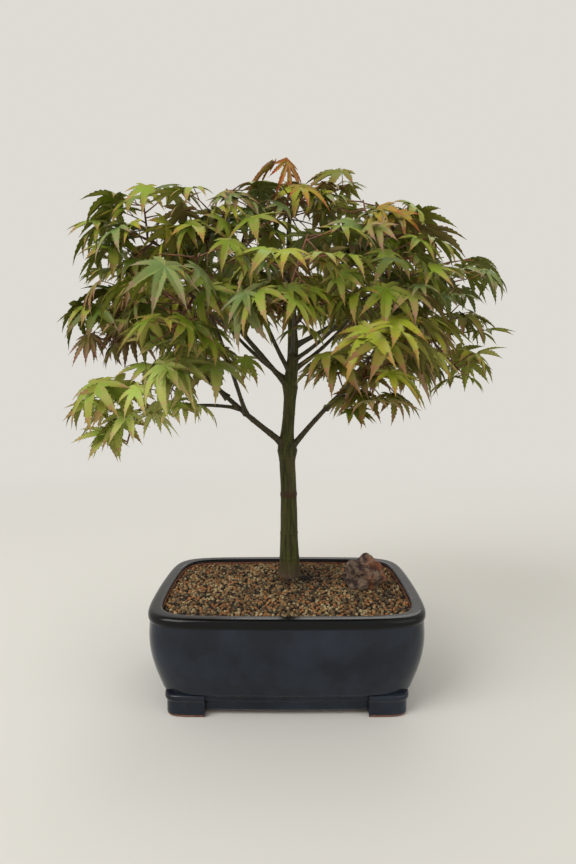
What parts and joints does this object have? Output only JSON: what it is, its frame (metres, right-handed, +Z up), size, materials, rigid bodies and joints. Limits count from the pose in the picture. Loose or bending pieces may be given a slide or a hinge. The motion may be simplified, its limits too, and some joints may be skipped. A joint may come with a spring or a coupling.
{
  "type": "potted bonsai japanese maple",
  "caption": "Bonsai Japanese maple with a clear trunk and a broad flat-topped crown of palmate leaves, in a rounded oblong glazed pot with corner feet, a gravel bed and a rock.",
  "frame": {"origin": "on the ground, under the middle of the pot", "axes": "+Z up, from the ground to the top of the crown; +X towards the right end of the pot seen from the front; -Y towards the front, where the picture was taken from"},
  "size_m": [0.4289, 0.3473, 0.5119],
  "materials": {
    "glaze": "gloss, near-black blue-grey stoneware glaze, unglazed brown clay under the feet",
    "gravel": "loose matte grains in tan, brown, grey and orange",
    "rock": "rough, pitted brown and purple-grey lava rock",
    "trunk_bark": "smooth olive-green bark with fine streaks, brown nodes and a greyer foot",
    "bough_bark": "smooth dark olive-brown bark",
    "foliage": "fresh green palmate leaves, some bronze or orange at the tips, on thin twigs"
  },
  "bodies": {
    "root": {"pot": "glaze", "gravel_bed": "gravel", "rock": "rock", "trunk": "trunk_bark", "bough_low_left": "bough_bark", "bough_low_left_outer": "bough_bark", "bough_left": "bough_bark", "bough_front_left": "bough_bark", "bough_low_right": "bough_bark", "bough_front_right": "bough_bark", "bough_upper_left": "bough_bark", "bough_top_left": "bough_bark", "bough_rear_left": "bough_bark", "bough_rear_right": "bough_bark", "bough_right_shoulder": "bough_bark", "bough_front": "bough_bark", "bough_mid_right": "bough_bark", "bough_rear": "bough_bark", "bough_top_right": "bough_bark", "foliage_low_left": "foliage", "foliage_low_left_inner": "foliage", "foliage_left": "foliage", "foliage_upper_left": "foliage", "foliage_top_left": "foliage", "foliage_crown": "foliage", "foliage_top_right": "foliage", "foliage_right_shoulder": "foliage", "foliage_right": "foliage", "foliage_front_left": "foliage", "foliage_front": "foliage", "foliage_mid_right": "foliage", "foliage_front_right": "foliage", "foliage_rear_left": "foliage", "foliage_rear": "foliage", "foliage_rear_right": "foliage"}
  },
  "joints": []
}
